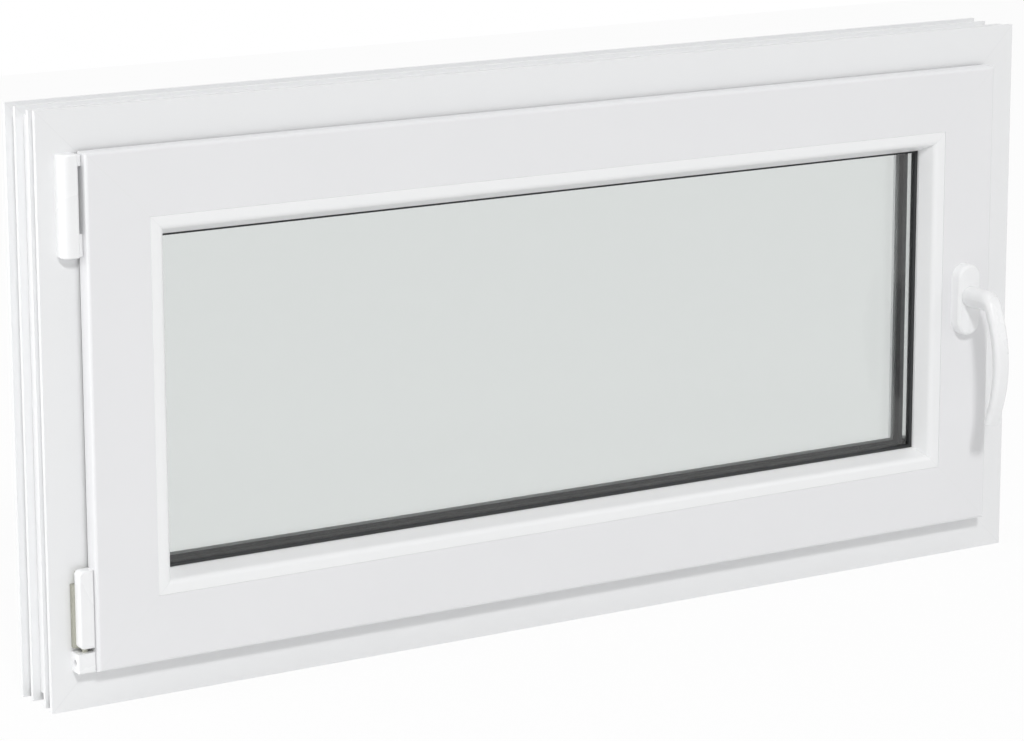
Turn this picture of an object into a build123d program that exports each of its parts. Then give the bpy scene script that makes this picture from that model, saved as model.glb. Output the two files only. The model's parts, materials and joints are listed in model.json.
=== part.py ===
from build123d import *
from math import cos, radians, sin
import os

os.makedirs("parts", exist_ok=True)

# Overall window, in mm: X along the width, +Y to the weather side, Z up from the underside of the frame
FRAME_WIDTH = 1000.0
FRAME_HEIGHT = 500.0
FRAME_DEPTH = 60.0

# Frame profile, measured inward from the outer edge and back from the room face
FLANGE = 4.5
FIN = 4.0
FIN_RECESS = 1.0
GROOVE_DEPTH = 8.0
FRONT_FIN_POS = 14.5
REAR_FIN_POS = 38.5
FRAME_LAND = 44.0
FRAME_LEG = 64.0
LEG_DEPTH = 17.5
LEG_SLOPE = 4.0
WALL = 2.8

# Sash profile
SASH_INSET = 34.5
SASH_PROUD = 18.0
SASH_GAP = 3.0
LEG_GAP = 4.0
SASH_BODY = 56.0
SASH_EDGE_RADIUS = 2.8
HARDWARE_GROOVE = 16.0
HARDWARE_GROOVE_DEPTH = 3.0
HARDWARE_GROOVE_POS = 6.0
GLAZING_FLOOR = 91.0
SASH_LEG = 113.5
SASH_LEG_DEPTH = 8.5

# Gasket seats and gaskets
SEAT_WIDTH = 3.0
SEAT_DEPTH = 2.5
SASH_SEAT = 36.5
FRAME_SEAT = 57.0
LEG_SEAT = 101.0
BULB_WIDTH = 5.0
LIP_RADIUS = 0.9

# Glass unit and beads
PANE = 4.0
CAVITY = 16.0
OUTER_GASKET = 3.0
BEAD_GASKET = 3.0
GLASS_CLEARANCE = 5.5
SEAL_HEIGHT = 4.0
SPACER_HEIGHT = 8.0
BEAD_SHOULDER = 102.0
BEAD_ROUND = 6.0
BEAD_JOINT = 0.5
BEAD_LIP = 109.0
BEAD_LIP_DEPTH = 2.5
BEAD_WALL = 1.6
BEAD_FOOT = 3.0
BEAD_FOOT_DEPTH = 2.5
BEAD_FOOT_POS = 8.0
BEAD_FIT = 0.2
SIGHT_LINE = 111.5
BLOCK_LENGTH = 80.0
BLOCK_INSET = 200.0

# Hinge side hardware: the stay at the top, the corner hinge at the foot
STAY_SIDE_GAP = 3.4
CORNER_SIDE_GAP = 0.15
COVER_WALL = 2.0
COVER_FIT = 0.2
PIN_RADIUS = 2.5
PIN_FIT = 0.15
STAY_WIDTH = 15.3
STAY_PROUD = 13.5
STAY_LENGTH = 84.5
STAY_DROP = 35.5
STAY_ROUND = 8.0
STAY_EDGE = 3.0
SPINE = 2.0
ARM_THICKNESS = 2.0
ARM_HEIGHT = 28.0
ARM_FIT = 1.0
CORNER_WIDTH = 15.6
CORNER_PROUD = 13.5
CORNER_HEIGHT = 16.5
CORNER_EDGE = 1.0
SOCKET_WIDTH = 5.0
SOCKET_DEPTH = 4.0
KNUCKLE_GAP = 3.5
KNUCKLE_LENGTH = 66.5
HINGE_BASE_LENGTH = 54.0
CORNER_COVER_WIDTH = 13.4
CORNER_COVER_PROUD = 14.0
CORNER_COVER_DEPTH = 9.2
CORNER_COVER_ROUND = 2.0

# Handle
HANDLE_INSET = 66.5
HANDLE_RISE = 3.5
ROSETTE_WIDTH = 26.0
ROSETTE_HEIGHT = 67.0
ROSETTE_DEPTH = 11.0
ROSETTE_BEVEL = 2.5
NECK_RADIUS = 9.5
NECK_FIT = 0.25
NECK_SEAT = 3.0
SPINDLE = 7.0
SPINDLE_LENGTH = 22.0
SPINDLE_BORE = 6.0

# Grip: straight neck, elbow and bowed lever, by the radius and the turn of their centre line
NECK_REACH = 33.75
NECK_FLAT = 0.2
ELBOW_RADIUS = 13.0
ELBOW_TURN = 64.2
ELBOW_STATIONS = 5
BOW_RADIUS = 122.4
BOW_TURN = 51.4
BOW_STATIONS = 8
BLEND_TURN = 80.0
GRIP_WIDTH = 16.5
GRIP_THICKNESS = 10.3
GRIP_EDGE = 4.2
GRIP_TIP_WIDTH = 15.0
GRIP_TIP_THICKNESS = 9.0
GRIP_TIP_BEVEL = 1.5

# Drainage at the weather side of the sill
DRAIN_INSET = 170.0
DRAIN_WIDTH = 30.0
DRAIN_HEIGHT = 5.0
DRAIN_LEVEL = 26.0
CAP_WIDTH = 46.0
CAP_HEIGHT = 17.0
CAP_PROUD = 5.0
CAP_WALL = 1.5

half_width = FRAME_WIDTH / 2
mid_height = FRAME_HEIGHT / 2
leg_face = FRAME_DEPTH - LEG_DEPTH
sash_rear = leg_face - LEG_GAP
sash_leg_face = sash_rear - SASH_LEG_DEPTH
glass_edge = GLAZING_FLOOR + GLASS_CLEARANCE
glass_rear = sash_leg_face - OUTER_GASKET
glass_front = glass_rear - 2 * PANE - CAVITY
bead_back = glass_front - BEAD_GASKET

# Planes of the four sides: local x runs inward from the outer edge, local y runs to the weather side
sill_plane = Plane(origin=(0, 0, 0), x_dir=(0, 0, 1), z_dir=(-1, 0, 0))
head_plane = Plane(origin=(0, 0, FRAME_HEIGHT), x_dir=(0, 0, -1), z_dir=(1, 0, 0))
left_plane = Plane(origin=(-half_width, 0, mid_height), x_dir=(1, 0, 0), z_dir=(0, 0, 1))
right_plane = Plane(origin=(half_width, 0, mid_height), x_dir=(-1, 0, 0), z_dir=(0, 0, -1))

# Mitre outlines seen from the room: each side of the window with its ends cut at 45 degrees
mitre_inner = half_width - mid_height
sill_mitre = [
    (-half_width, 0),
    (half_width, 0),
    (mitre_inner, mid_height),
    (-mitre_inner, mid_height),
]
head_mitre = [
    (-half_width, FRAME_HEIGHT),
    (half_width, FRAME_HEIGHT),
    (mitre_inner, mid_height),
    (-mitre_inner, mid_height),
]
left_mitre = [(-half_width, 0), (-half_width, FRAME_HEIGHT), (-mitre_inner, mid_height)]
right_mitre = [(half_width, 0), (half_width, FRAME_HEIGHT), (mitre_inner, mid_height)]
sides = {
    "sill": (sill_plane, sill_mitre),
    "head": (head_plane, head_mitre),
    "left": (left_plane, left_mitre),
    "right": (right_plane, right_mitre),
}


def mitred_bar(section, side):
    """Returns one side of a ring of profile, its ends cut on the mitre."""
    plane, outline = sides[side]
    with BuildPart() as bar:
        with BuildSketch(plane):
            add(section)
        extrude(amount=half_width, both=True)
        with BuildSketch(Plane.XZ):
            with BuildLine():
                Polyline(*outline, close=True)
            make_face()
        extrude(amount=2 * FRAME_DEPTH, both=True, mode=Mode.INTERSECT)
    return bar.part


def mitred_ring(section):
    """Returns a closed ring of profile made of four mitred sides."""
    with BuildPart() as ring:
        for side in sides:
            add(mitred_bar(section, side))
    return ring.part


def save(builder, name):
    """Names a finished piece and writes it to the parts folder."""
    builder.part.label = name
    export_step(builder.part, f"parts/{name}.step")


# Frame profile: finned outer edge, room face, rebate for the sash and a weather leg, with three chambers
with BuildSketch() as frame_section:
    with BuildLine():
        Polyline(
            (0, 0),
            (FRAME_LAND, 0),
            (FRAME_LAND, leg_face),
            (FRAME_SEAT, leg_face),
            (FRAME_SEAT, leg_face + SEAT_DEPTH),
            (FRAME_SEAT + SEAT_WIDTH, leg_face + SEAT_DEPTH),
            (FRAME_SEAT + SEAT_WIDTH, leg_face),
            (FRAME_LEG, leg_face),
            (FRAME_LEG - LEG_SLOPE, FRAME_DEPTH),
            (0, FRAME_DEPTH),
            (0, FRAME_DEPTH - FIN),
            (GROOVE_DEPTH, FRAME_DEPTH - FIN),
            (GROOVE_DEPTH, REAR_FIN_POS + FIN),
            (FIN_RECESS, REAR_FIN_POS + FIN),
            (FIN_RECESS, REAR_FIN_POS),
            (GROOVE_DEPTH, REAR_FIN_POS),
            (GROOVE_DEPTH, FRONT_FIN_POS + FIN),
            (FIN_RECESS, FRONT_FIN_POS + FIN),
            (FIN_RECESS, FRONT_FIN_POS),
            (GROOVE_DEPTH, FRONT_FIN_POS),
            (GROOVE_DEPTH, FLANGE),
            (0, FLANGE),
            close=True,
        )
    make_face()
    chamber_left = GROOVE_DEPTH + WALL
    chamber_right = FRAME_LAND - WALL
    chamber_width = chamber_right - chamber_left
    chamber_mid = (chamber_left + chamber_right) / 2
    for chamber_start, chamber_end in (
        (WALL, FRONT_FIN_POS + FIN / 2 - WALL / 2),
        (FRONT_FIN_POS + FIN / 2 + WALL / 2, REAR_FIN_POS + FIN / 2 - WALL / 2),
        (REAR_FIN_POS + FIN / 2 + WALL / 2, FRAME_DEPTH - WALL),
    ):
        with Locations((chamber_mid, (chamber_start + chamber_end) / 2)):
            Rectangle(chamber_width, chamber_end - chamber_start, mode=Mode.SUBTRACT)
    leg_start = leg_face + SEAT_DEPTH + WALL
    leg_end = FRAME_DEPTH - WALL
    leg_tip = FRAME_LEG - LEG_SLOPE - WALL
    with Locations(((FRAME_LAND + leg_tip) / 2, (leg_start + leg_end) / 2)):
        Rectangle(leg_tip - FRAME_LAND, leg_end - leg_start, mode=Mode.SUBTRACT)

# Sash profile: rounded overlap on the room side, hardware groove, glazing rebate with a weather leg
with BuildSketch() as sash_section:
    with BuildLine():
        Polyline(
            (SASH_INSET, -SASH_PROUD),
            (GLAZING_FLOOR, -SASH_PROUD),
            (GLAZING_FLOOR, -BEAD_FOOT_POS),
            (GLAZING_FLOOR - BEAD_FOOT_DEPTH, -BEAD_FOOT_POS),
            (GLAZING_FLOOR - BEAD_FOOT_DEPTH, BEAD_FOOT - BEAD_FOOT_POS),
            (GLAZING_FLOOR, BEAD_FOOT - BEAD_FOOT_POS),
            (GLAZING_FLOOR, sash_leg_face),
            (LEG_SEAT, sash_leg_face),
            (LEG_SEAT, sash_leg_face + SEAT_DEPTH),
            (LEG_SEAT + SEAT_WIDTH, sash_leg_face + SEAT_DEPTH),
            (LEG_SEAT + SEAT_WIDTH, sash_leg_face),
            (SASH_LEG, sash_leg_face),
            (SASH_LEG - LEG_SLOPE, sash_rear),
            (SASH_BODY, sash_rear),
            (SASH_BODY, HARDWARE_GROOVE_POS + HARDWARE_GROOVE),
            (SASH_BODY + HARDWARE_GROOVE_DEPTH, HARDWARE_GROOVE_POS + HARDWARE_GROOVE),
            (SASH_BODY + HARDWARE_GROOVE_DEPTH, HARDWARE_GROOVE_POS),
            (SASH_BODY, HARDWARE_GROOVE_POS),
            (SASH_BODY, -SASH_GAP),
            (SASH_SEAT + SEAT_WIDTH, -SASH_GAP),
            (SASH_SEAT + SEAT_WIDTH, -SASH_GAP - SEAT_DEPTH),
            (SASH_SEAT, -SASH_GAP - SEAT_DEPTH),
            (SASH_SEAT, -SASH_GAP),
            (SASH_INSET, -SASH_GAP),
            close=True,
        )
    make_face()
    outer_corner = sash_section.vertices().sort_by_distance((SASH_INSET, -SASH_PROUD))[0]
    fillet(outer_corner, radius=SASH_EDGE_RADIUS)
    with BuildLine():
        Polyline(
            (SASH_SEAT + SEAT_WIDTH + WALL, WALL - SASH_PROUD),
            (GLAZING_FLOOR - BEAD_FOOT_DEPTH - WALL, WALL - SASH_PROUD),
            (GLAZING_FLOOR - BEAD_FOOT_DEPTH - WALL, HARDWARE_GROOVE_POS - 2 * WALL),
            (SASH_BODY + WALL, HARDWARE_GROOVE_POS - 2 * WALL),
            (SASH_BODY + WALL, -SASH_GAP - WALL),
            (SASH_SEAT + SEAT_WIDTH + WALL, -SASH_GAP - WALL),
            close=True,
        )
    make_face(mode=Mode.SUBTRACT)
    core_left = SASH_BODY + HARDWARE_GROOVE_DEPTH + WALL
    core_right = GLAZING_FLOOR - WALL
    core_start = HARDWARE_GROOVE_POS - WALL
    core_end = sash_leg_face - WALL
    with Locations(((core_left + core_right) / 2, (core_start + core_end) / 2)):
        Rectangle(core_right - core_left, core_end - core_start, mode=Mode.SUBTRACT)
    with BuildLine():
        Polyline(
            (SASH_BODY + WALL, sash_leg_face),
            (GLAZING_FLOOR - WALL, sash_leg_face),
            (GLAZING_FLOOR, sash_leg_face + WALL),
            (LEG_SEAT - WALL, sash_leg_face + WALL),
            (LEG_SEAT - WALL, sash_rear - WALL),
            (SASH_BODY + WALL, sash_rear - WALL),
            close=True,
        )
    make_face(mode=Mode.SUBTRACT)

# Glazing bead: flat face in line with the sash, bevelled at their joint, with a rounded shoulder, a slope
# down to the lip and a clip-in foot
with BuildSketch() as bead_section:
    with BuildLine():
        Polyline(
            (GLAZING_FLOOR, BEAD_JOINT - SASH_PROUD),
            (GLAZING_FLOOR + BEAD_JOINT, -SASH_PROUD),
            (BEAD_SHOULDER, -SASH_PROUD),
            (BEAD_LIP, bead_back - BEAD_LIP_DEPTH),
            (BEAD_LIP, bead_back),
            (GLAZING_FLOOR, bead_back),
            (GLAZING_FLOOR, BEAD_FOOT - BEAD_FOOT_POS - BEAD_FIT),
            (GLAZING_FLOOR - BEAD_FOOT_DEPTH + BEAD_FIT, BEAD_FOOT - BEAD_FOOT_POS - BEAD_FIT),
            (GLAZING_FLOOR - BEAD_FOOT_DEPTH + BEAD_FIT, BEAD_FIT - BEAD_FOOT_POS),
            (GLAZING_FLOOR, BEAD_FIT - BEAD_FOOT_POS),
            close=True,
        )
    make_face()
    shoulder = bead_section.vertices().sort_by_distance((BEAD_SHOULDER, -SASH_PROUD))[0]
    fillet(shoulder, radius=BEAD_ROUND)
    with BuildLine():
        Polyline(
            (GLAZING_FLOOR + BEAD_WALL, BEAD_WALL - SASH_PROUD),
            (BEAD_SHOULDER - BEAD_WALL, BEAD_WALL - SASH_PROUD),
            (BEAD_LIP - 2 * BEAD_WALL, bead_back - BEAD_LIP_DEPTH - BEAD_WALL),
            (GLAZING_FLOOR + BEAD_WALL, bead_back - BEAD_LIP_DEPTH - BEAD_WALL),
            close=True,
        )
    make_face(mode=Mode.SUBTRACT)

# Sash gasket: foot in its seat and a bulb that closes the gap to the frame
with BuildSketch() as sash_gasket_section:
    with Locations((SASH_SEAT + SEAT_WIDTH / 2, -SASH_GAP - SEAT_DEPTH / 2)):
        Rectangle(SEAT_WIDTH, SEAT_DEPTH)
    with Locations((SASH_SEAT + SEAT_WIDTH / 2, -SASH_GAP / 2)):
        RectangleRounded(BULB_WIDTH, SASH_GAP, LIP_RADIUS)

# Frame gasket: the same strip between the weather leg and the back of the sash
with BuildSketch() as frame_gasket_section:
    with Locations((FRAME_SEAT + SEAT_WIDTH / 2, leg_face + SEAT_DEPTH / 2)):
        Rectangle(SEAT_WIDTH, SEAT_DEPTH)
    with Locations((FRAME_SEAT + SEAT_WIDTH / 2, leg_face - LEG_GAP / 2)):
        RectangleRounded(BULB_WIDTH, LEG_GAP, LIP_RADIUS)

# Gasket under the bead, on the room face of the glass
with BuildSketch() as bead_gasket_section:
    with Locations(((glass_edge + SIGHT_LINE) / 2, glass_front - BEAD_GASKET / 2)):
        Rectangle(SIGHT_LINE - glass_edge, BEAD_GASKET)
    lip = bead_gasket_section.vertices().sort_by_distance((SIGHT_LINE, bead_back))[0]
    fillet(lip, radius=2 * LIP_RADIUS)

# Gasket between the weather leg of the sash and the outer pane
with BuildSketch() as glazing_gasket_section:
    with Locations((LEG_SEAT + SEAT_WIDTH / 2, sash_leg_face + SEAT_DEPTH / 2)):
        Rectangle(SEAT_WIDTH, SEAT_DEPTH)
    with Locations(((glass_edge + SIGHT_LINE) / 2, glass_rear + OUTER_GASKET / 2)):
        Rectangle(SIGHT_LINE - glass_edge, OUTER_GASKET)
    lip = glazing_gasket_section.vertices().sort_by_distance((SIGHT_LINE, sash_leg_face))[0]
    fillet(lip, radius=2 * LIP_RADIUS)

# Spacer bar between the panes, and the sealant behind it
cavity_mid = glass_front + PANE + CAVITY / 2
with BuildSketch() as spacer_section:
    with Locations((glass_edge + SEAL_HEIGHT + SPACER_HEIGHT / 2, cavity_mid)):
        Rectangle(SPACER_HEIGHT, CAVITY)
with BuildSketch() as edge_seal_section:
    with Locations((glass_edge + SEAL_HEIGHT / 2, cavity_mid)):
        Rectangle(SEAL_HEIGHT, CAVITY)

# Sill, with a drain slot near each end of its weather face
drain_x = half_width - DRAIN_INSET
with BuildPart() as frame_sill:
    add(mitred_bar(frame_section.sketch, "sill"))
    with BuildSketch(Plane.XZ.offset(-FRAME_DEPTH)):
        with Locations((-drain_x, DRAIN_LEVEL), (drain_x, DRAIN_LEVEL)):
            SlotOverall(DRAIN_WIDTH, DRAIN_HEIGHT)
    extrude(amount=WALL, mode=Mode.SUBTRACT)
save(frame_sill, "frame_sill")

# Head and jambs of the frame
with BuildPart() as frame_head:
    add(mitred_bar(frame_section.sketch, "head"))
save(frame_head, "frame_head")

with BuildPart() as frame_jamb_left:
    add(mitred_bar(frame_section.sketch, "left"))
save(frame_jamb_left, "frame_jamb_left")

with BuildPart() as frame_jamb_right:
    add(mitred_bar(frame_section.sketch, "right"))
save(frame_jamb_right, "frame_jamb_right")

# Rails and stiles of the sash
with BuildPart() as sash_top_rail:
    add(mitred_bar(sash_section.sketch, "head"))
save(sash_top_rail, "sash_top_rail")

with BuildPart() as sash_bottom_rail:
    add(mitred_bar(sash_section.sketch, "sill"))
save(sash_bottom_rail, "sash_bottom_rail")

with BuildPart() as sash_hinge_stile:
    add(mitred_bar(sash_section.sketch, "left"))
save(sash_hinge_stile, "sash_hinge_stile")

# Handle stile, bored through its room face for the spindle
handle_x = half_width - HANDLE_INSET
handle_z = mid_height + HANDLE_RISE
with BuildPart() as sash_handle_stile:
    add(mitred_bar(sash_section.sketch, "right"))
    with BuildSketch(Plane.XZ.offset(SASH_PROUD)):
        with Locations((handle_x, handle_z)):
            Circle(SPINDLE_BORE)
    extrude(amount=-SPINDLE_LENGTH, mode=Mode.SUBTRACT)
save(sash_handle_stile, "sash_handle_stile")

# Four glazing beads
for side, name in (("head", "top"), ("sill", "bottom"), ("left", "left"), ("right", "right")):
    with BuildPart() as bead:
        add(mitred_bar(bead_section.sketch, side))
    save(bead, f"bead_{name}")

# Gaskets and spacer, each one closed ring
with BuildPart() as bead_gasket:
    add(mitred_ring(bead_gasket_section.sketch))
save(bead_gasket, "bead_gasket")

with BuildPart() as glazing_gasket:
    add(mitred_ring(glazing_gasket_section.sketch))
save(glazing_gasket, "glazing_gasket")

with BuildPart() as frame_gasket:
    add(mitred_ring(frame_gasket_section.sketch))
save(frame_gasket, "frame_gasket")

with BuildPart() as spacer:
    add(mitred_ring(spacer_section.sketch))
save(spacer, "spacer")

with BuildPart() as edge_seal:
    add(mitred_ring(edge_seal_section.sketch))
save(edge_seal, "edge_seal")

# Hinge positions shared by the gasket notches and the hardware
sash_edge = SASH_INSET - half_width
sash_side = SASH_BODY - half_width
groove_end = HARDWARE_GROOVE_POS + HARDWARE_GROOVE
arm_offset = (SASH_GAP - ARM_THICKNESS) / 2
stay_right = sash_edge - STAY_SIDE_GAP
stay_left = stay_right - STAY_WIDTH
stay_mid = FRAME_HEIGHT - STAY_DROP - STAY_LENGTH / 2
corner_right = sash_edge - CORNER_SIDE_GAP
corner_left = corner_right - CORNER_WIDTH
corner_base = SASH_INSET
knuckle_base = corner_base + CORNER_HEIGHT + KNUCKLE_GAP
knuckle_mid = knuckle_base + KNUCKLE_LENGTH / 2

# Sash gasket, notched where the two hinge arms pass
with BuildPart() as sash_gasket:
    add(mitred_ring(sash_gasket_section.sketch))
    with BuildSketch(Plane.XZ):
        with Locations((SASH_SEAT - half_width, knuckle_mid), (SASH_SEAT - half_width, stay_mid)):
            Rectangle(4 * BULB_WIDTH, ARM_HEIGHT + 2 * ARM_FIT)
    extrude(amount=SASH_GAP, mode=Mode.SUBTRACT)
save(sash_gasket, "sash_gasket")

# Panes of the glass unit
pane_width = FRAME_WIDTH - 2 * glass_edge
pane_height = FRAME_HEIGHT - 2 * glass_edge
with BuildPart() as inner_pane:
    with BuildSketch(Plane.XZ.offset(-glass_front)):
        with Locations((0, mid_height)):
            Rectangle(pane_width, pane_height)
    extrude(amount=-PANE)
save(inner_pane, "inner_pane")

with BuildPart() as outer_pane:
    with BuildSketch(Plane.XZ.offset(-glass_rear)):
        with Locations((0, mid_height)):
            Rectangle(pane_width, pane_height)
    extrude(amount=PANE)
save(outer_pane, "outer_pane")

# Setting blocks that carry the glass unit on the bottom rail
block_x = half_width - BLOCK_INSET
for name, side_x in (("left", -block_x), ("right", block_x)):
    with BuildPart() as setting_block:
        with BuildSketch(Plane.XZ.offset(-glass_front)):
            with Locations((side_x, GLAZING_FLOOR + GLASS_CLEARANCE / 2)):
                Rectangle(BLOCK_LENGTH, GLASS_CLEARANCE)
        extrude(amount=glass_front - glass_rear)
    save(setting_block, f"setting_block_{name}")


def stay_plan(inset):
    """Returns the stay's outline seen from above, drawn smaller by an inset, with its rounded front."""
    with BuildSketch() as plan:
        with BuildLine():
            Polyline(
                (stay_left + inset, 0),
                (stay_left + inset, inset - STAY_PROUD),
                (stay_right - inset, inset - STAY_PROUD),
                (stay_right - inset, 0),
                close=True,
            )
        make_face()
        front_left = plan.vertices().sort_by_distance((stay_left, -STAY_PROUD))[0]
        fillet(front_left, radius=STAY_ROUND - inset)
        front_right = plan.vertices().sort_by_distance((stay_right, -STAY_PROUD))[0]
        fillet(front_right, radius=STAY_EDGE - inset)
    return plan.sketch


# Stay bearing on the frame at the top of the hinge side: a block with a slot for the eye of the stay arm
bearing_inset = COVER_WALL + COVER_FIT
bearing_length = STAY_LENGTH - 2 * bearing_inset
eye_radius = (STAY_WIDTH - 2 * bearing_inset - SPINE - ARM_FIT) / 2
stay_pin_x = stay_right - bearing_inset - eye_radius
stay_pin_y = -(STAY_PROUD - bearing_inset) / 2
with BuildPart() as stay_bearing:
    with BuildSketch(Plane.XY.offset(stay_mid - bearing_length / 2)):
        add(stay_plan(bearing_inset))
    extrude(amount=bearing_length)
    with BuildSketch(Plane.XZ):
        with Locations((stay_left + bearing_inset + SPINE + STAY_WIDTH / 2, stay_mid)):
            Rectangle(STAY_WIDTH, ARM_HEIGHT + 2 * ARM_FIT)
    extrude(amount=STAY_PROUD, mode=Mode.SUBTRACT)
    with BuildSketch(Plane.XY.offset(stay_mid - bearing_length / 2)):
        with Locations((stay_pin_x, stay_pin_y)):
            Circle(PIN_RADIUS + PIN_FIT)
    extrude(amount=bearing_length, mode=Mode.SUBTRACT)
save(stay_bearing, "stay_bearing")

with BuildPart() as stay_pin:
    with BuildSketch(Plane.XY.offset(stay_mid - bearing_length / 2)):
        with Locations((stay_pin_x, stay_pin_y)):
            Circle(PIN_RADIUS)
    extrude(amount=bearing_length)
save(stay_pin, "stay_pin")

# Stay arm of the sash: an eye on the pin and a plate through the sash gap to the hardware groove
with BuildPart() as stay_arm:
    with BuildSketch(Plane.XY.offset(stay_mid - ARM_HEIGHT / 2)):
        with Locations((stay_pin_x, stay_pin_y)):
            Circle(eye_radius)
        with BuildLine():
            Polyline(
                (stay_pin_x, -arm_offset - ARM_THICKNESS),
                (sash_side, -arm_offset - ARM_THICKNESS),
                (sash_side, groove_end),
                (sash_side - ARM_THICKNESS, groove_end),
                (sash_side - ARM_THICKNESS, -arm_offset),
                (stay_pin_x, -arm_offset),
                close=True,
            )
        make_face()
        with Locations((stay_pin_x, stay_pin_y)):
            Circle(PIN_RADIUS + PIN_FIT, mode=Mode.SUBTRACT)
    extrude(amount=ARM_HEIGHT)
save(stay_arm, "stay_arm")

# Cover clipped over the stay bearing, open at its side for the arm
with BuildPart() as stay_cover:
    with BuildSketch(Plane.XY.offset(stay_mid - STAY_LENGTH / 2)):
        add(stay_plan(0))
    extrude(amount=STAY_LENGTH)
    rims = stay_cover.faces().filter_by(Axis.Z).edges()
    fillet(rims.filter_by(lambda edge: edge.center().Y < -COVER_FIT), radius=COVER_WALL - COVER_FIT)
    with BuildSketch(Plane.XY.offset(stay_mid - STAY_LENGTH / 2 + COVER_WALL)):
        add(stay_plan(COVER_WALL))
    extrude(amount=STAY_LENGTH - 2 * COVER_WALL, mode=Mode.SUBTRACT)
    with BuildSketch(Plane.XZ):
        with Locations((stay_right, stay_mid)):
            Rectangle(2 * COVER_WALL + ARM_FIT, ARM_HEIGHT + 2 * ARM_FIT)
    extrude(amount=SASH_GAP, mode=Mode.SUBTRACT)
save(stay_cover, "stay_cover")

# Corner bearing on the frame at the foot of the hinge side, with a pin bore and an adjusting socket
pin_x = corner_right - CORNER_COVER_WIDTH / 2
pin_y = -CORNER_PROUD / 2
with BuildPart() as corner_bearing:
    with BuildSketch(Plane.XY.offset(corner_base)):
        with Locations((corner_right - CORNER_WIDTH / 2, pin_y)):
            Rectangle(CORNER_WIDTH, CORNER_PROUD)
    extrude(amount=CORNER_HEIGHT)
    fillet(corner_bearing.edges().filter_by(Axis.Z).group_by(Axis.Y)[0], radius=CORNER_EDGE)
    with BuildSketch(Plane.XY.offset(corner_base + CORNER_HEIGHT)):
        with Locations((pin_x, pin_y)):
            Circle(PIN_RADIUS + PIN_FIT)
    extrude(amount=-CORNER_HEIGHT / 2, mode=Mode.SUBTRACT)
    with BuildSketch(Plane.YZ.offset(corner_left)):
        with Locations((pin_y, corner_base + CORNER_HEIGHT / 2)):
            RegularPolygon(SOCKET_WIDTH / 2, 6, major_radius=False)
    extrude(amount=SOCKET_DEPTH, mode=Mode.SUBTRACT)
save(corner_bearing, "corner_bearing")

with BuildPart() as corner_pin:
    with BuildSketch(Plane.XY.offset(corner_base + CORNER_HEIGHT / 2)):
        with Locations((pin_x, pin_y)):
            Circle(PIN_RADIUS)
    extrude(amount=CORNER_HEIGHT / 2 + KNUCKLE_GAP + KNUCKLE_LENGTH / 2)
save(corner_pin, "corner_pin")

# Corner hinge on the sash: a base plate, a head on the pin for the cover and an arm to the hardware groove
cover_back = CORNER_COVER_PROUD - CORNER_COVER_DEPTH
head_inset = COVER_WALL + COVER_FIT
head_front = CORNER_COVER_PROUD - head_inset
head_top = knuckle_base + KNUCKLE_LENGTH - head_inset
with BuildPart() as corner_hinge:
    with BuildSketch(Plane.XY.offset(knuckle_base)):
        with Locations((corner_right - CORNER_WIDTH / 2, -(arm_offset + cover_back) / 2)):
            Rectangle(CORNER_WIDTH, cover_back - arm_offset)
    extrude(amount=HINGE_BASE_LENGTH)
    with BuildSketch(Plane.XY.offset(knuckle_base)):
        with Locations((pin_x, -(arm_offset + head_front) / 2)):
            Rectangle(CORNER_COVER_WIDTH - 2 * head_inset, head_front - arm_offset)
    extrude(amount=head_top - knuckle_base)
    with BuildSketch(Plane.XY.offset(knuckle_mid - ARM_HEIGHT / 2)):
        with BuildLine():
            Polyline(
                (pin_x, -arm_offset - ARM_THICKNESS),
                (sash_side, -arm_offset - ARM_THICKNESS),
                (sash_side, groove_end),
                (sash_side - ARM_THICKNESS, groove_end),
                (sash_side - ARM_THICKNESS, -arm_offset),
                (pin_x, -arm_offset),
                close=True,
            )
        make_face()
    extrude(amount=ARM_HEIGHT)
    with BuildSketch(Plane.XY.offset(knuckle_base)):
        with Locations((pin_x, pin_y)):
            Circle(PIN_RADIUS + PIN_FIT)
    extrude(amount=head_top - knuckle_base, mode=Mode.SUBTRACT)
save(corner_hinge, "corner_hinge")

# Cover over the head of the corner hinge, open at the back
with BuildPart() as corner_cover:
    with BuildSketch(Plane.XZ.offset(cover_back)):
        with Locations((pin_x, knuckle_mid)):
            Rectangle(CORNER_COVER_WIDTH, KNUCKLE_LENGTH)
    extrude(amount=CORNER_COVER_DEPTH)
    fillet(corner_cover.edges().filter_by(Axis.Y).group_by(Axis.X)[0], radius=2 * CORNER_COVER_ROUND)
    fillet(corner_cover.faces().sort_by(Axis.Y)[0].edges(), radius=CORNER_COVER_ROUND)
    with BuildSketch(Plane.XZ.offset(cover_back)):
        with Locations((pin_x, knuckle_mid - COVER_WALL / 2)):
            Rectangle(CORNER_COVER_WIDTH - 2 * COVER_WALL, KNUCKLE_LENGTH - COVER_WALL)
    extrude(amount=CORNER_COVER_DEPTH - COVER_WALL, mode=Mode.SUBTRACT)
save(corner_cover, "corner_cover")

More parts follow.
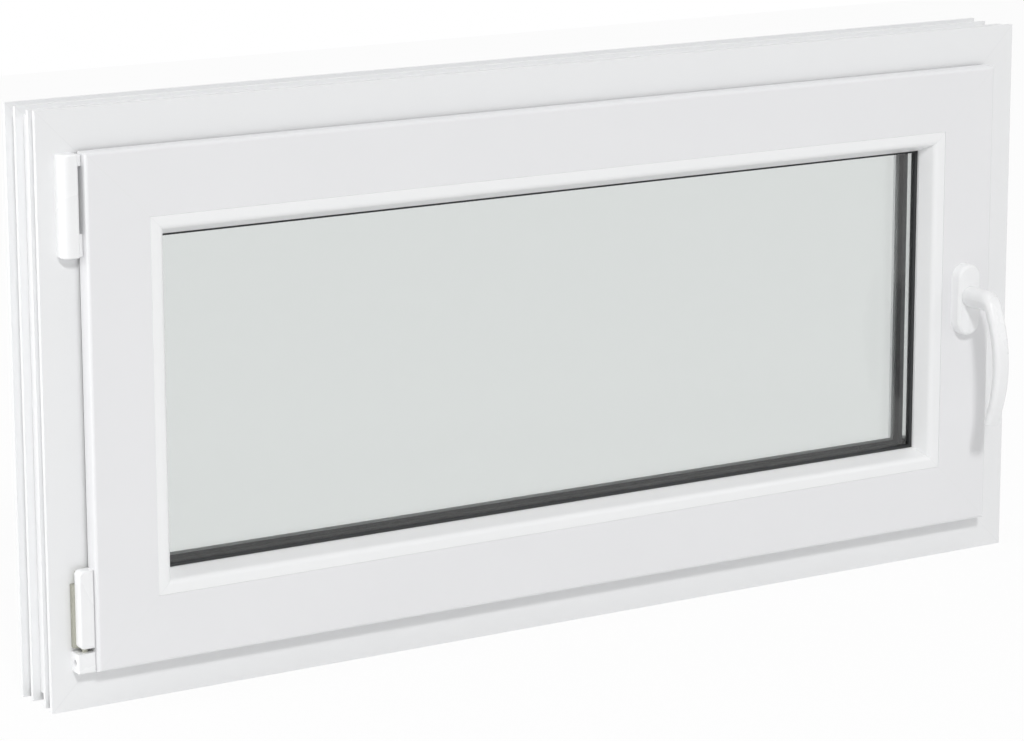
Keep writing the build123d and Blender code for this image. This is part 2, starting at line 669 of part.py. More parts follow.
# Rosette of the handle, with a bore for the neck and a smaller one for the spindle
neck_end = SASH_PROUD + NECK_SEAT + NECK_FIT
with BuildPart() as handle_rosette:
    with BuildSketch(Plane.XZ.offset(SASH_PROUD)):
        with Locations((handle_x, mid_height)):
            SlotOverall(ROSETTE_HEIGHT, ROSETTE_WIDTH, rotation=90)
    extrude(amount=ROSETTE_DEPTH)
    chamfer(handle_rosette.faces().sort_by(Axis.Y)[0].edges(), length=ROSETTE_BEVEL)
    with BuildSketch(Plane.XZ.offset(SASH_PROUD + NECK_SEAT)):
        with Locations((handle_x, handle_z)):
            Circle(NECK_RADIUS + NECK_FIT)
    extrude(amount=ROSETTE_DEPTH, mode=Mode.SUBTRACT)
    with BuildSketch(Plane.XZ.offset(SASH_PROUD)):
        with Locations((handle_x, handle_z)):
            Circle(SPINDLE_BORE)
    extrude(amount=ROSETTE_DEPTH, mode=Mode.SUBTRACT)
save(handle_rosette, "handle_rosette")


def grip_plane(turn):
    """Returns the plane square to the grip's centre line where that line has turned down by an angle."""
    elbow = min(turn, radians(ELBOW_TURN))
    reach = NECK_REACH + ELBOW_RADIUS * sin(elbow) + BOW_RADIUS * (sin(turn) - sin(elbow))
    drop = ELBOW_RADIUS * (1 - cos(elbow)) + BOW_RADIUS * (cos(elbow) - cos(turn))
    origin = (handle_x, -SASH_PROUD - reach, handle_z - drop)
    return Plane(origin=origin, x_dir=(1, 0, 0), z_dir=(0, -cos(turn), -sin(turn)))


def between(start, end, share):
    """Returns the value at a share of the way from start to end."""
    return start + (end - start) * share


# Grip: a round neck out of the rosette that flattens through its elbow into a bowed lever, lofted through
# sections square to its centre line
grip_end = radians(ELBOW_TURN + BOW_TURN)
elbow_turns = [radians(ELBOW_TURN) * step / ELBOW_STATIONS for step in range(ELBOW_STATIONS)]
bow_turns = [radians(ELBOW_TURN + BOW_TURN * step / BOW_STATIONS) for step in range(BOW_STATIONS + 1)]
neck_corner = NECK_RADIUS - NECK_FLAT / 2
with BuildPart() as handle_grip:
    with BuildSketch(Plane.XZ.offset(neck_end)):
        with Locations((handle_x, handle_z)):
            RectangleRounded(2 * NECK_RADIUS, 2 * NECK_RADIUS, neck_corner)
    for turn in elbow_turns + bow_turns:
        flat = min(turn / radians(BLEND_TURN), 1)
        flat = flat * flat * (3 - 2 * flat)
        tip = (turn / grip_end) ** 4
        width = between(2 * NECK_RADIUS, between(GRIP_WIDTH, GRIP_TIP_WIDTH, tip), flat)
        thickness = between(2 * NECK_RADIUS, between(GRIP_THICKNESS, GRIP_TIP_THICKNESS, tip), flat)
        corner = min(between(neck_corner, GRIP_EDGE, flat), (thickness - NECK_FLAT) / 2)
        with BuildSketch(grip_plane(turn)):
            RectangleRounded(width, thickness, corner)
    with BuildSketch(grip_plane(grip_end).offset(GRIP_TIP_BEVEL)):
        RectangleRounded(
            GRIP_TIP_WIDTH - 2 * GRIP_TIP_BEVEL,
            GRIP_TIP_THICKNESS - 2 * GRIP_TIP_BEVEL,
            GRIP_EDGE - GRIP_TIP_BEVEL,
        )
    loft(ruled=True)
save(handle_grip, "handle_grip")

# Square spindle that the grip turns in the handle stile
with BuildPart() as spindle:
    with BuildSketch(Plane.XZ.offset(neck_end)):
        with Locations((handle_x, handle_z)):
            Rectangle(SPINDLE, SPINDLE)
    extrude(amount=-SPINDLE_LENGTH)
save(spindle, "spindle")

# Weather caps over the drain slots, open below
for name, cap_x in (("left", -drain_x), ("right", drain_x)):
    with BuildPart() as drain_cap:
        with BuildSketch(Plane.XZ.offset(-FRAME_DEPTH)):
            with Locations((cap_x, DRAIN_LEVEL)):
                Rectangle(CAP_WIDTH, CAP_HEIGHT)
        extrude(amount=-CAP_PROUD)
        fillet(drain_cap.faces().sort_by(Axis.Y)[-1].edges(), radius=CAP_WALL)
        with BuildSketch(Plane.XZ.offset(-FRAME_DEPTH)):
            with Locations((cap_x, DRAIN_LEVEL - CAP_WALL)):
                Rectangle(CAP_WIDTH - 2 * CAP_WALL, CAP_HEIGHT)
        extrude(amount=CAP_WALL - CAP_PROUD, mode=Mode.SUBTRACT)
    save(drain_cap, f"drain_cap_{name}")
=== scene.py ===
import json
from math import cos, pi, radians, sin

import bpy
from mathutils import Matrix, Vector


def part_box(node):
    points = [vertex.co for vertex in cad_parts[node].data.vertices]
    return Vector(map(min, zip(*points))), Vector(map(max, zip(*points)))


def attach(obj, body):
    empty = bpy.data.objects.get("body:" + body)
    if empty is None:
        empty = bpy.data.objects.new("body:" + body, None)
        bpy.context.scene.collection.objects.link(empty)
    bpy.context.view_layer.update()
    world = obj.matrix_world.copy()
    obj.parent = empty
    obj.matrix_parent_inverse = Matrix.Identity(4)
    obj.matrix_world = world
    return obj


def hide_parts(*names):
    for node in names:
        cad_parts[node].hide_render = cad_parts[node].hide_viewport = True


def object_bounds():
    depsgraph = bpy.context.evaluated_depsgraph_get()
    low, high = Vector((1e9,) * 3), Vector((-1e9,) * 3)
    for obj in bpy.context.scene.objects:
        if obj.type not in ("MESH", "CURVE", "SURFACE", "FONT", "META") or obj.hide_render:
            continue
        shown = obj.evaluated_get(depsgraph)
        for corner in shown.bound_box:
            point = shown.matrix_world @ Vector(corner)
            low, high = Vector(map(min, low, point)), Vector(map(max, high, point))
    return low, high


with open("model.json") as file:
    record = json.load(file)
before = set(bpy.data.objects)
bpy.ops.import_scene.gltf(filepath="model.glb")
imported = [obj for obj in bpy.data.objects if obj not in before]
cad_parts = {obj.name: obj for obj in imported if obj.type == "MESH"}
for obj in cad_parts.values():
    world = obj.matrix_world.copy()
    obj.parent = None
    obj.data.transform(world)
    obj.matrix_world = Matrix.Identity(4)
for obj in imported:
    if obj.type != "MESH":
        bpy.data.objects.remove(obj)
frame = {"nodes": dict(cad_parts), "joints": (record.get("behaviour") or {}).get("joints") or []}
nodes = frame["nodes"]
cad_low, cad_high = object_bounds()


# The camera stands to the left of the window and above it, at the angle of the
# photograph, with a long lens and the whole frame just inside the picture.
IMAGE_WIDTH = 1024
SENSOR = 36.0
FOCAL_PIXELS = 3750.45
CAMERA_PLACE = (-1.754096, -2.696522, 0.939281)
CAMERA_AZIMUTH = radians(32.2523)
CAMERA_PITCH = radians(12.4422)
CAMERA_ROLL = radians(-0.1421)
LEVEL_VIEW = radians(90.0)
NEAR_CLIP = 0.05
FAR_CLIP = 60.0

camera = bpy.data.cameras.new("camera")
camera.sensor_width = SENSOR
camera.lens = FOCAL_PIXELS / IMAGE_WIDTH * SENSOR
camera.clip_start = NEAR_CLIP
camera.clip_end = FAR_CLIP
camera_object = bpy.data.objects.new("camera", camera)
camera_object.matrix_world = (
    Matrix.Translation(CAMERA_PLACE)
    @ Matrix.Rotation(-CAMERA_AZIMUTH, 4, "Z")
    @ Matrix.Rotation(LEVEL_VIEW - CAMERA_PITCH, 4, "X")
    @ Matrix.Rotation(CAMERA_ROLL, 4, "Z")
)
bpy.context.scene.collection.objects.link(camera_object)
bpy.context.scene.camera = camera_object
bpy.context.scene.view_settings.view_transform = "Standard"


# The stage is a large pale sheet that the window stands on. It shows white to the
# camera, to gloss and through glass, and keeps a soft shadow of the window.
FLOOR_SIZE = 7.0
FLOOR_COLOUR = (0.93, 0.93, 0.93, 1.0)
FLOOR_GLOW = 0.94


def seen_rays(tree):
    """A value of 1 for what the camera sees, straight, in gloss or through glass."""
    rays = tree.nodes.new("ShaderNodeLightPath")
    direct = tree.nodes.new("ShaderNodeMath")
    direct.operation = "MAXIMUM"
    either = tree.nodes.new("ShaderNodeMath")
    either.operation = "MAXIMUM"
    tree.links.new(rays.outputs["Is Camera Ray"], direct.inputs[0])
    tree.links.new(rays.outputs["Is Glossy Ray"], direct.inputs[1])
    tree.links.new(direct.outputs[0], either.inputs[0])
    tree.links.new(rays.outputs["Is Transmission Ray"], either.inputs[1])
    return either.outputs[0]


bpy.ops.object.select_all(action="DESELECT")
bpy.ops.mesh.primitive_plane_add(size=FLOOR_SIZE, location=(0.0, 0.0, cad_low.z))
floor = bpy.context.object
floor.name = "floor"
bpy.ops.object.transform_apply(location=True, rotation=True, scale=True)
floor_sheet = bpy.data.materials.new("floor_sheet")
floor_sheet.use_nodes = True
tree = floor_sheet.node_tree
tree.nodes.clear()
out = tree.nodes.new("ShaderNodeOutputMaterial")
diffuse = tree.nodes.new("ShaderNodeBsdfDiffuse")
diffuse.inputs["Color"].default_value = FLOOR_COLOUR
glow = tree.nodes.new("ShaderNodeEmission")
glow.inputs["Strength"].default_value = 1.0
share = tree.nodes.new("ShaderNodeMath")
share.operation = "MULTIPLY"
share.inputs[1].default_value = FLOOR_GLOW
mix = tree.nodes.new("ShaderNodeMixShader")
tree.links.new(seen_rays(tree), share.inputs[0])
tree.links.new(share.outputs[0], mix.inputs["Fac"])
tree.links.new(diffuse.outputs["BSDF"], mix.inputs[1])
tree.links.new(glow.outputs["Emission"], mix.inputs[2])
tree.links.new(mix.outputs["Shader"], out.inputs["Surface"])
floor.data.materials.append(floor_sheet)


# Studio light: an even pale room, one main lamp far in front and above on the left,
# and three large panels that lift the left sides, the right half and the tops.
ROOM_LIGHT = 0.38
BACKDROP = 1.0
WHITE = (1.0, 1.0, 1.0, 1.0)
TARGET = Vector((0.0, 0.0, 0.25))

world = bpy.data.worlds.new("studio")
bpy.context.scene.world = world
world.use_nodes = True
tree = world.node_tree
tree.nodes.clear()
out = tree.nodes.new("ShaderNodeOutputWorld")
room = tree.nodes.new("ShaderNodeBackground")
room.inputs["Color"].default_value = WHITE
room.inputs["Strength"].default_value = ROOM_LIGHT
backdrop = tree.nodes.new("ShaderNodeBackground")
backdrop.inputs["Color"].default_value = WHITE
backdrop.inputs["Strength"].default_value = BACKDROP
mix = tree.nodes.new("ShaderNodeMixShader")
tree.links.new(seen_rays(tree), mix.inputs["Fac"])
tree.links.new(room.outputs["Background"], mix.inputs[1])
tree.links.new(backdrop.outputs["Background"], mix.inputs[2])
tree.links.new(mix.outputs["Shader"], out.inputs["Surface"])


def add_lamp(name, place, size, power):
    """A square studio panel at a place, facing the middle of the window."""
    light = bpy.data.lights.new(name, "AREA")
    light.shape = "SQUARE"
    light.size = size
    light.energy = power
    panel = bpy.data.objects.new(name, light)
    aim = (TARGET - Vector(place)).to_track_quat("-Z", "Y")
    panel.matrix_world = Matrix.Translation(place) @ aim.to_matrix().to_4x4()
    bpy.context.scene.collection.objects.link(panel)


add_lamp("main_lamp", place=(-3.65, -9.0, 7.6), size=1.3, power=510.0)
add_lamp("left_panel", place=(-4.2, 0.7, 1.2), size=3.0, power=85.0)
add_lamp("right_panel", place=(3.4, -3.2, 1.8), size=2.5, power=22.0)
add_lamp("top_panel", place=(0.0, 0.4, 4.2), size=3.0, power=25.0)


# White unplasticised PVC of the frame, the sash and the glazing beads: extruded bars,
# bright and smooth, with faint drawing lines along the bar and a soft gloss. The bars
# of frame and sash are welded on the mitre, and the beads are cut and clipped in.
# The beads are painted much lighter than the sash, and the frame a little lighter: a painted lift on
# one and the same white PVC that stands in for light these bars catch.
BEAD_LIFTED_LIGHT = (0.95, 0.955, 0.96, 1.0)
BEAD_LIFTED_DARK = (0.93, 0.937, 0.942, 1.0)
FRAME_LIFTED_LIGHT = (0.895, 0.9, 0.906, 1.0)
FRAME_LIFTED_DARK = (0.875, 0.882, 0.889, 1.0)
SASH_LIGHT = (0.875, 0.876, 0.888, 1.0)
SASH_DARK = (0.852, 0.854, 0.867, 1.0)
SEAM_TINT = (0.85, 0.856, 0.864, 1.0)
HALF_WIDTH = 0.5
MID_HEIGHT = 0.25
WELD_WIDTH = 0.0009
MITRE_WIDTH = 0.00035
SEAM_DEPTH = 0.0002
SEAM_STRENGTH = 0.25
BAR_ROUGHNESS = 0.34
ROUGHNESS_SPREAD = 0.05
PLASTIC_IOR = 1.53
LINE_SCALE_ALONG = 6.0
LINE_SCALE_ACROSS = 900.0
LINE_DETAIL = 3.0
LINE_STRENGTH = 0.05
LINE_DEPTH = 0.0001
CLOUD_SCALE = 14.0
CLOUD_DETAIL = 4.0


def math_node(tree, operation, first, second=None):
    """One step of arithmetic in a material, on links or on plain numbers."""
    step = tree.nodes.new("ShaderNodeMath")
    step.operation = operation
    for socket, value in zip(step.inputs, (first, second)):
        if value is None:
            continue
        if isinstance(value, float):
            socket.default_value = value
        else:
            tree.links.new(value, socket)
    return step.outputs[0]


def from_middle(tree, value, middle, reach):
    """How far a coordinate lies inside the outer edge, counted the same from both ends."""
    offset = math_node(tree, "ABSOLUTE", math_node(tree, "SUBTRACT", value, middle))
    return math_node(tree, "SUBTRACT", reach, offset)


def plastic(name, along, light, dark, roughness=BAR_ROUGHNESS, seam=None):
    """Moulded or drawn plastic: cloudy tint, lines along one axis, and a seam on the mitres."""
    material = bpy.data.materials.new(name)
    material.use_nodes = True
    tree = material.node_tree
    shader = tree.nodes["Principled BSDF"]
    shader.inputs["IOR"].default_value = PLASTIC_IOR
    place = tree.nodes.new("ShaderNodeTexCoord").outputs["Object"]
    stretch = tree.nodes.new("ShaderNodeMapping")
    stretch.inputs["Scale"].default_value = [
        LINE_SCALE_ALONG if axis == along else LINE_SCALE_ACROSS for axis in "XYZ"
    ]
    tree.links.new(place, stretch.inputs["Vector"])
    lines = tree.nodes.new("ShaderNodeTexNoise")
    lines.inputs["Scale"].default_value = 1.0
    lines.inputs["Detail"].default_value = LINE_DETAIL
    tree.links.new(stretch.outputs["Vector"], lines.inputs["Vector"])
    cloud = tree.nodes.new("ShaderNodeTexNoise")
    cloud.inputs["Scale"].default_value = CLOUD_SCALE
    cloud.inputs["Detail"].default_value = CLOUD_DETAIL
    tree.links.new(place, cloud.inputs["Vector"])
    tint = tree.nodes.new("ShaderNodeMix")
    tint.data_type = "RGBA"
    tint.inputs["A"].default_value = light
    tint.inputs["B"].default_value = dark
    tree.links.new(cloud.outputs["Fac"], tint.inputs["Factor"])
    gloss = tree.nodes.new("ShaderNodeMapRange")
    gloss.inputs["To Min"].default_value = roughness - ROUGHNESS_SPREAD
    gloss.inputs["To Max"].default_value = roughness + ROUGHNESS_SPREAD
    tree.links.new(cloud.outputs["Fac"], gloss.inputs["Value"])
    tree.links.new(gloss.outputs["Result"], shader.inputs["Roughness"])
    bump = tree.nodes.new("ShaderNodeBump")
    bump.inputs["Strength"].default_value = LINE_STRENGTH
    bump.inputs["Distance"].default_value = LINE_DEPTH
    tree.links.new(lines.outputs["Fac"], bump.inputs["Height"])
    colour, normal = tint.outputs["Result"], bump.outputs["Normal"]
    if seam:
        split = tree.nodes.new("ShaderNodeSeparateXYZ")
        tree.links.new(place, split.inputs["Vector"])
        across = from_middle(tree, split.outputs["X"], 0.0, HALF_WIDTH)
        up = from_middle(tree, split.outputs["Z"], MID_HEIGHT, MID_HEIGHT)
        off_mitre = math_node(tree, "ABSOLUTE", math_node(tree, "SUBTRACT", across, up))
        groove = math_node(tree, "SUBTRACT", 1.0, math_node(tree, "DIVIDE", off_mitre, seam))
        groove = math_node(tree, "MAXIMUM", groove, 0.0)
        dent = tree.nodes.new("ShaderNodeBump")
        dent.invert = True
        dent.inputs["Strength"].default_value = SEAM_STRENGTH
        dent.inputs["Distance"].default_value = SEAM_DEPTH
        tree.links.new(groove, dent.inputs["Height"])
        tree.links.new(normal, dent.inputs["Normal"])
        shade = tree.nodes.new("ShaderNodeMix")
        shade.data_type = "RGBA"
        shade.inputs["B"].default_value = SEAM_TINT
        tree.links.new(groove, shade.inputs["Factor"])
        tree.links.new(colour, shade.inputs["A"])
        colour, normal = shade.outputs["Result"], dent.outputs["Normal"]
    tree.links.new(colour, shader.inputs["Base Color"])
    tree.links.new(normal, shader.inputs["Normal"])
    return material


def dress(names, material):
    """Gives the CAD nodes of these names one material."""
    for name in names:
        mesh = nodes[name].data
        mesh.materials.clear()
        mesh.materials.append(material)


# The frame and bead materials carry the painted lift of their tones; the sash keeps the plain PVC
# tone.
for axis, turned, frame_bars, sash_bars, beads in (
    (
        "X",
        "across",
        ("frame_sill", "frame_head"),
        ("sash_top_rail", "sash_bottom_rail"),
        ("bead_top", "bead_bottom"),
    ),
    (
        "Z",
        "upright",
        ("frame_jamb_left", "frame_jamb_right"),
        ("sash_hinge_stile", "sash_handle_stile"),
        ("bead_left", "bead_right"),
    ),
):
    dress(frame_bars, plastic("frame_pvc_lifted_" + turned, axis, FRAME_LIFTED_LIGHT, FRAME_LIFTED_DARK, seam=WELD_WIDTH))
    dress(sash_bars, plastic("sash_pvc_" + turned, axis, SASH_LIGHT, SASH_DARK, seam=WELD_WIDTH))
    dress(beads, plastic("bead_pvc_lifted_" + turned, axis, BEAD_LIFTED_LIGHT, BEAD_LIFTED_DARK, seam=MITRE_WIDTH))


# Seals and glazing gaskets: black extruded rubber, dull, with a fine grain and a dusty
# sheen. The sealant at the edge of the glass unit is as black.
RUBBER_BLACK = (0.012, 0.013, 0.014, 1.0)
RUBBER_GREY = (0.03, 0.032, 0.034, 1.0)
RUBBER_GRAIN = 2200.0
RUBBER_ROUGHNESS = 0.6
GRAIN_DETAIL = 2.0
GRAIN_STRENGTH = 0.2
GRAIN_DEPTH = 0.0001


def grained(name, dark, light, grain, roughness):
    """A material with a fine grain in its colour and its surface."""
    material = bpy.data.materials.new(name)
    material.use_nodes = True
    tree = material.node_tree
    shader = tree.nodes["Principled BSDF"]
    shader.inputs["Roughness"].default_value = roughness
    place = tree.nodes.new("ShaderNodeTexCoord").outputs["Object"]
    speckle = tree.nodes.new("ShaderNodeTexNoise")
    speckle.inputs["Scale"].default_value = grain
    speckle.inputs["Detail"].default_value = GRAIN_DETAIL
    tree.links.new(place, speckle.inputs["Vector"])
    tint = tree.nodes.new("ShaderNodeMix")
    tint.data_type = "RGBA"
    tint.inputs["A"].default_value = dark
    tint.inputs["B"].default_value = light
    tree.links.new(speckle.outputs["Fac"], tint.inputs["Factor"])
    tree.links.new(tint.outputs["Result"], shader.inputs["Base Color"])
    bump = tree.nodes.new("ShaderNodeBump")
    bump.inputs["Strength"].default_value = GRAIN_STRENGTH
    bump.inputs["Distance"].default_value = GRAIN_DEPTH
    tree.links.new(speckle.outputs["Fac"], bump.inputs["Height"])
    tree.links.new(bump.outputs["Normal"], shader.inputs["Normal"])
    return material


rubber = grained("black_rubber", RUBBER_BLACK, RUBBER_GREY, RUBBER_GRAIN, RUBBER_ROUGHNESS)
dress(("bead_gasket", "frame_gasket", "glazing_gasket", "sash_gasket", "edge_seal"), rubber)


# Insulating glass: two clear float panes with a faintly grey cast, set apart by a dark
# spacer bar. A thin bright metal strip lies on the face of each upright spacer bar.
GLASS_TINT = (0.83, 0.846, 0.84, 1.0)
GLASS_IOR = 1.52
SPACER_DARK = (0.02, 0.021, 0.022, 1.0)
SPACER_LIGHT = (0.035, 0.036, 0.038, 1.0)
SPACER_ROUGHNESS = 0.45
STRIP_LIGHT = (0.86, 0.86, 0.86, 1.0)
STRIP_DARK = (0.78, 0.78, 0.78, 1.0)
STRIP_ROUGHNESS = 0.12
STRIP_WIDTH = 0.005
STRIP_SHIFT = 0.001
STRIP_PROUD = 0.00015
SPACER_BAR = 0.008
FACING = 0.5

glass = bpy.data.materials.new("float_glass")
glass.use_nodes = True
tree = glass.node_tree
shader = tree.nodes["Principled BSDF"]
shader.inputs["Roughness"].default_value = 0.0
shader.inputs["IOR"].default_value = GLASS_IOR
shader.inputs["Transmission Weight"].default_value = 1.0
shader.inputs["Base Color"].default_value = GLASS_TINT
dress(("inner_pane", "outer_pane"), glass)
spacer_coat = grained("spacer_bar", SPACER_DARK, SPACER_LIGHT, RUBBER_GRAIN, SPACER_ROUGHNESS)
dress(("spacer",), spacer_coat)

spacer_low, spacer_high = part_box("spacer")
strip_middle = (spacer_low + spacer_high) / 2 - Vector((0.0, STRIP_SHIFT, 0.0))
bpy.ops.object.select_all(action="DESELECT")
bpy.ops.mesh.primitive_cube_add(size=1.0, location=strip_middle)
spacer_strip = bpy.context.object
spacer_strip.name = "spacer_strip"
spacer_strip.scale = (
    spacer_high.x - spacer_low.x - 2 * SPACER_BAR,
    STRIP_WIDTH,
    spacer_high.z - spacer_low.z - 2 * SPACER_BAR,
)
bpy.ops.object.transform_apply(location=True, rotation=True, scale=True)
bpy.ops.object.mode_set(mode="EDIT")
bpy.ops.mesh.select_mode(type="FACE")
bpy.ops.mesh.select_all(action="DESELECT")
bpy.ops.object.mode_set(mode="OBJECT")
for face in spacer_strip.data.polygons:
    face.select = abs(face.normal.x) < FACING
bpy.ops.object.mode_set(mode="EDIT")
bpy.ops.mesh.delete(type="FACE")
bpy.ops.mesh.select_all(action="SELECT")
bpy.ops.mesh.solidify(thickness=STRIP_PROUD)
bpy.ops.mesh.normals_make_consistent(inside=False)
bpy.ops.object.mode_set(mode="OBJECT")
strip_metal = grained("bright_strip", STRIP_DARK, STRIP_LIGHT, RUBBER_GRAIN, STRIP_ROUGHNESS)
strip_metal.node_tree.nodes["Principled BSDF"].inputs["Metallic"].default_value = 1.0
spacer_strip.data.materials.append(strip_metal)
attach(spacer_strip, "window")


# Setting blocks that carry the glass unit on the bottom rail: small moulded blocks of
# dull blue plastic, laid loose in the rebate under the glass.
BLOCK_DARK = (0.03, 0.06, 0.16, 1.0)
BLOCK_LIGHT = (0.04, 0.08, 0.2, 1.0)
BLOCK_GRAIN = 900.0
BLOCK_ROUGHNESS = 0.5

block_plastic = grained("block_plastic", BLOCK_DARK, BLOCK_LIGHT, BLOCK_GRAIN, BLOCK_ROUGHNESS)
dress(("setting_block_left", "setting_block_right"), block_plastic)


# Metal parts of the hinges and the spindle of the handle: pressed and turned steel with
# a yellowish zinc coat, mostly hidden under the white covers.
STEEL_DARK = (0.42, 0.42, 0.36, 1.0)
STEEL_LIGHT = (0.55, 0.55, 0.48, 1.0)
STEEL_GRAIN = 400.0
STEEL_ROUGHNESS = 0.42
STEEL_METALLIC = 0.85

steel = grained("zinc_steel", STEEL_DARK, STEEL_LIGHT, STEEL_GRAIN, STEEL_ROUGHNESS)
steel.node_tree.nodes["Principled BSDF"].inputs["Metallic"].default_value = STEEL_METALLIC
dress(("spindle", "stay_arm", "stay_pin", "corner_pin", "stay_bearing", "corner_hinge"), steel)


# Hinge covers and drain caps: injection moulded white plastic, glossier than the bars,
# clipped over the metal parts, with edges rounded in the mould.
HARDWARE_LIGHT = (0.94, 0.945, 0.95, 1.0)
HARDWARE_DARK = (0.925, 0.93, 0.937, 1.0)
HARDWARE_ROUGHNESS = 0.28
MERGE = 0.000002
FLAT_ANGLE = radians(0.5)
SMOOTH_ANGLE = radians(32.0)

hardware = plastic("moulded_white", "Z", HARDWARE_LIGHT, HARDWARE_DARK, HARDWARE_ROUGHNESS)


def finish_piece(piece, material, body):
    """Rounds off a new piece: smooth curves, even flats, its material and its body."""
    bpy.ops.object.select_all(action="DESELECT")
    piece.select_set(True)
    bpy.context.view_layer.objects.active = piece
    bpy.ops.object.shade_smooth_by_angle(angle=SMOOTH_ANGLE)
    bpy.ops.object.modifier_add(type="WEIGHTED_NORMAL")
    piece.modifiers[-1].keep_sharp = True
    bpy.ops.object.modifier_apply(modifier=piece.modifiers[-1].name)
    piece.data.materials.clear()
    piece.data.materials.append(material)
    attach(piece, body)


def moulded_copy(name, material, body):
    """A closed, smoothly shaded copy of a CAD node, which it stands for."""
    piece = bpy.data.objects.new(name + "_moulded", nodes[name].data.copy())
    bpy.context.scene.collection.objects.link(piece)
    bpy.ops.object.select_all(action="DESELECT")
    piece.select_set(True)
    bpy.context.view_layer.objects.active = piece
    bpy.ops.object.mode_set(mode="EDIT")
    bpy.ops.mesh.select_all(action="SELECT")
    bpy.ops.mesh.remove_doubles(threshold=MERGE)
    bpy.ops.mesh.dissolve_limited(angle_limit=FLAT_ANGLE)
    bpy.ops.object.mode_set(mode="OBJECT")
    finish_piece(piece, material, body)
    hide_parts(name)


for name in ("stay_cover", "corner_cover", "corner_bearing", "drain_cap_left", "drain_cap_right"):
    moulded_copy(name, hardware, "window")


# The stay cover reaches the sash with a short lip at its head and a longer one at its
# foot, moulded in one with it, so that only a slit is left between them.
LIP_HEIGHTS = (0.0095, 0.0185)
LIP_DEPTH = 0.0095
LIP_EDGE = 0.0008
LIP_ROOT = 0.003
LIP_GAP = 0.0001
LIP_STEPS = 3

cover_low, cover_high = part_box("stay_cover")
sash_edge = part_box("sash_hinge_stile")[0].x
lip_right = sash_edge - LIP_GAP
lip_left = cover_high.x - LIP_ROOT
lip_tops = (cover_high.z - LIP_EDGE, cover_low.z + LIP_EDGE + LIP_HEIGHTS[1])
for name, height, top in zip(("head", "foot"), LIP_HEIGHTS, lip_tops):
    bpy.ops.object.select_all(action="DESELECT")
    lip_place = ((lip_left + lip_right) / 2, -LIP_DEPTH / 2 - LIP_EDGE, top - height / 2)
    bpy.ops.mesh.primitive_cube_add(size=1.0, location=lip_place)
    lip = bpy.context.object
    lip.name = "stay_cover_lip_" + name
    lip.scale = (lip_right - lip_left, LIP_DEPTH, height)
    bpy.ops.object.transform_apply(location=True, rotation=True, scale=True)
    bpy.ops.object.mode_set(mode="EDIT")
    bpy.ops.mesh.select_all(action="SELECT")
    bpy.ops.mesh.bevel(affect="EDGES", offset=LIP_EDGE, segments=LIP_STEPS)
    bpy.ops.object.mode_set(mode="OBJECT")
    finish_piece(lip, hardware, "window")


# The handle's rosette: a moulded white cap with softly rounded edges, clipped to the
# sash. It is closed in front, and the grip's neck starts just before its face.
AXIS = Vector(frame["joints"][0]["pos_m"])
ROSETTE_WIDTH = 0.026
ROSETTE_HEIGHT = 0.067
ROSETTE_DEPTH = 0.011
ROSETTE_EDGE = 0.0034
ROSETTE_EDGE_STEPS = 6
ROSETTE_STEPS = 14
ROSETTE_END = 0.01295
NECK_RADIUS = 0.0095


def add_outline(place, tilt, width, height, corner, steps):
    """Adds a flat piece with rounded corners, tilted back about X, and leaves it in edit mode."""
    bpy.ops.object.select_all(action="DESELECT")
    bpy.ops.mesh.primitive_plane_add(size=1.0, location=place, rotation=(tilt, 0.0, 0.0))
    outline = bpy.context.object
    outline.scale = (width, height, 1.0)
    bpy.ops.object.transform_apply(location=True, rotation=True, scale=True)
    bpy.ops.object.mode_set(mode="EDIT")
    bpy.ops.mesh.select_all(action="SELECT")
    bpy.ops.mesh.bevel(affect="VERTICES", offset=corner, segments=steps)
    bpy.ops.mesh.select_all(action="SELECT")
    return outline


rosette_low, rosette_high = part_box("handle_rosette")
rosette_place = (AXIS.x, AXIS.y, (rosette_low.z + rosette_high.z) / 2)
rosette = add_outline(rosette_place, pi / 2, ROSETTE_WIDTH, ROSETTE_HEIGHT, ROSETTE_END, ROSETTE_STEPS)
rosette.name = "rosette_cap"
bpy.ops.mesh.extrude_region_move(TRANSFORM_OT_translate={"value": (0.0, -ROSETTE_DEPTH, 0.0)})
bpy.ops.mesh.bevel(affect="EDGES", offset=ROSETTE_EDGE, segments=ROSETTE_EDGE_STEPS)
bpy.ops.mesh.select_all(action="SELECT")
bpy.ops.mesh.normals_make_consistent(inside=False)
bpy.ops.object.mode_set(mode="OBJECT")
finish_piece(rosette, hardware, "window")
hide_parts("handle_rosette")


# The grip: one die-cast lever with a white coat. Its round neck stands straight out from
# the sash, turns down through an elbow and flattens into a bowed lever with a round end.
NECK_REACH = 0.03375
NECK_CORNER = 0.0094
NECK_CLEARANCE = 0.00025
ELBOW_RADIUS = 0.013
ELBOW_TURN = radians(64.2)
ELBOW_STEPS = 14
BOW_RADIUS = 0.1224
BOW_TURN = radians(51.4)
BOW_STEPS = 20
BLEND_TURN = radians(80.0)
GRIP_WIDTH = 0.0165
GRIP_THICKNESS = 0.0103
GRIP_CORNER = 0.0045
TIP_WIDTH = 0.015
TIP_THICKNESS = 0.009
TIP_ROUND = 0.0024
TIP_REACH = 0.0015
TIP_STEPS = 5
TAPER_POWER = 4
CORNER_MARGIN = 0.0001
GRIP_CORNER_STEPS = 7
GRIP_END = ELBOW_TURN + BOW_TURN


def between(start, end, share):
    """The value at a share of the way from start to end."""
    return start + (end - start) * share


def grip_line(turn):
    """The point of the lever's centre line where it has turned down by an angle."""
    elbow = min(turn, ELBOW_TURN)
    reach = NECK_REACH + ELBOW_RADIUS * sin(elbow) + BOW_RADIUS * (sin(turn) - sin(elbow))
    drop = ELBOW_RADIUS * (1 - cos(elbow)) + BOW_RADIUS * (cos(elbow) - cos(turn))
    return AXIS - Vector((0.0, reach, drop))


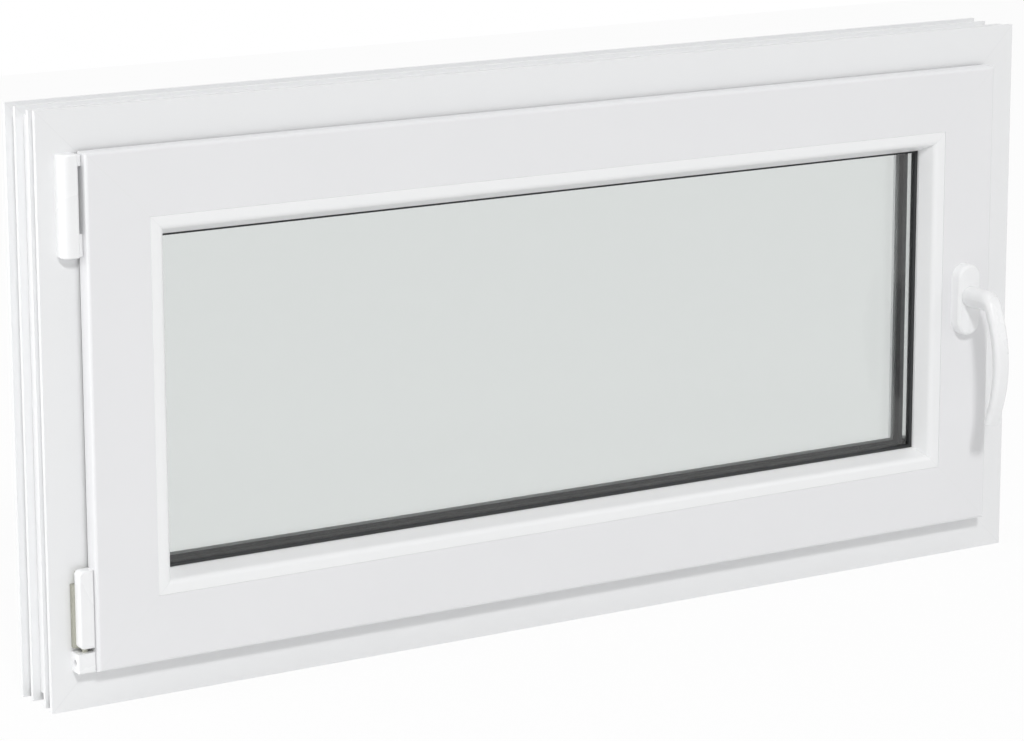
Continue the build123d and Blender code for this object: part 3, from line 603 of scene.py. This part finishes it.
def add_station(place, turn, width, thickness, corner):
    """Adds one outline of the lever, square to its centre line."""
    outline = add_outline(place, pi / 2 + turn, width, thickness, corner, GRIP_CORNER_STEPS)
    bpy.ops.mesh.delete(type="ONLY_FACE")
    bpy.ops.object.mode_set(mode="OBJECT")
    return outline


neck_place = AXIS - Vector((0.0, ROSETTE_DEPTH + NECK_CLEARANCE, 0.0))
stations = [add_station(neck_place, 0.0, 2 * NECK_RADIUS, 2 * NECK_RADIUS, NECK_CORNER)]
turns = [ELBOW_TURN * step / ELBOW_STEPS for step in range(ELBOW_STEPS)]
turns += [ELBOW_TURN + BOW_TURN * step / BOW_STEPS for step in range(BOW_STEPS + 1)]
for turn in turns:
    flat = min(turn / BLEND_TURN, 1.0)
    flat = flat * flat * (3 - 2 * flat)
    tip = (turn / GRIP_END) ** TAPER_POWER
    width = between(2 * NECK_RADIUS, between(GRIP_WIDTH, TIP_WIDTH, tip), flat)
    thickness = between(2 * NECK_RADIUS, between(GRIP_THICKNESS, TIP_THICKNESS, tip), flat)
    corner = min(between(NECK_CORNER, GRIP_CORNER, flat), thickness / 2 - CORNER_MARGIN)
    stations.append(add_station(grip_line(turn), turn, width, thickness, corner))
tip_place = grip_line(GRIP_END)
ahead = Vector((0.0, -cos(GRIP_END), -sin(GRIP_END)))
for step in range(1, TIP_STEPS + 1):
    angle = pi / 2 * step / TIP_STEPS
    inset = TIP_ROUND * (1 - cos(angle))
    place = tip_place + ahead * TIP_REACH * sin(angle)
    width = TIP_WIDTH - 2 * inset
    thickness = TIP_THICKNESS - 2 * inset
    stations.append(add_station(place, GRIP_END, width, thickness, corner - inset))
bpy.ops.object.select_all(action="DESELECT")
for station in stations:
    station.select_set(True)
grip = stations[0]
bpy.context.view_layer.objects.active = grip
bpy.ops.object.join()
grip.name = "lever_grip"
bpy.ops.object.mode_set(mode="EDIT")
bpy.ops.mesh.select_all(action="SELECT")
bpy.ops.mesh.bridge_edge_loops()
bpy.ops.mesh.fill_holes(sides=0)
bpy.ops.mesh.select_all(action="SELECT")
bpy.ops.mesh.normals_make_consistent(inside=False)
bpy.ops.object.mode_set(mode="OBJECT")
finish_piece(grip, hardware, "handle")
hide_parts("handle_grip")
